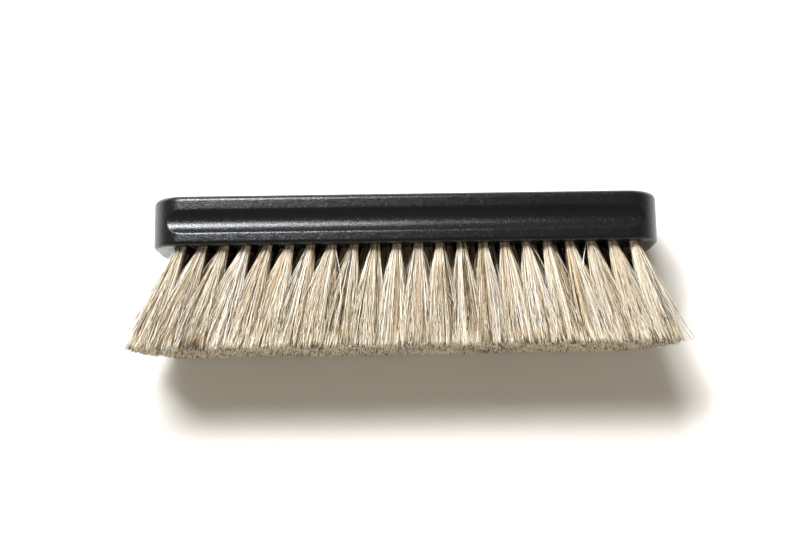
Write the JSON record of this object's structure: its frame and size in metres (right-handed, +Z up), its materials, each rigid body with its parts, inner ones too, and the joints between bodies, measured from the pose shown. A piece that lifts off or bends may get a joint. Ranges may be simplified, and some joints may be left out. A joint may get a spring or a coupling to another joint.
{
  "type": "bee brush",
  "caption": "Long wooden block brush with rounded ends, finger grooves along both sides and staggered rows of pale horsehair tufts trimmed flat, lying on its side.",
  "frame": {"origin": "centre of the bounding box's base, on the plane the brush lies on", "axes": "+X along the block, +Y from the hair's tips towards the block's back, +Z up, across the block's width"},
  "size_m": [0.25, 0.069, 0.045],
  "materials": {
    "lacquer": "black satin lacquer with a fine speckle",
    "horsehair": "natural pale horsehair, white to honey with some dark hairs",
    "steel": "plain drawing wire"
  },
  "bodies": {
    "root": {"base_board": "lacquer", "cover_board": "lacquer", "tuft_front_01": "horsehair", "tuft_front_02": "horsehair", "tuft_front_03": "horsehair", "tuft_front_04": "horsehair", "tuft_front_05": "horsehair", "tuft_front_06": "horsehair", "tuft_front_07": "horsehair", "tuft_front_08": "horsehair", "tuft_front_09": "horsehair", "tuft_front_10": "horsehair", "tuft_front_11": "horsehair", "tuft_front_12": "horsehair", "tuft_front_13": "horsehair", "tuft_front_14": "horsehair", "tuft_front_15": "horsehair", "tuft_front_16": "horsehair", "tuft_front_17": "horsehair", "tuft_front_18": "horsehair", "tuft_front_19": "horsehair", "tuft_front_20": "horsehair", "tuft_front_21": "horsehair", "tuft_front_22": "horsehair", "tuft_row_2": "horsehair", "tuft_row_3": "horsehair", "tuft_row_4": "horsehair", "tuft_back_01": "horsehair", "tuft_back_02": "horsehair", "tuft_back_03": "horsehair", "tuft_back_04": "horsehair", "tuft_back_05": "horsehair", "tuft_back_06": "horsehair", "tuft_back_07": "horsehair", "tuft_back_08": "horsehair", "tuft_back_09": "horsehair", "tuft_back_10": "horsehair", "tuft_back_11": "horsehair", "tuft_back_12": "horsehair", "tuft_back_13": "horsehair", "tuft_back_14": "horsehair", "tuft_back_15": "horsehair", "tuft_back_16": "horsehair", "tuft_back_17": "horsehair", "tuft_back_18": "horsehair", "tuft_back_19": "horsehair", "tuft_back_20": "horsehair", "tuft_back_21": "horsehair", "tuft_back_22": "horsehair", "drawing_wire_1": "steel", "drawing_wire_2": "steel", "drawing_wire_3": "steel", "drawing_wire_4": "steel", "drawing_wire_5": "steel"}
  },
  "joints": []
}
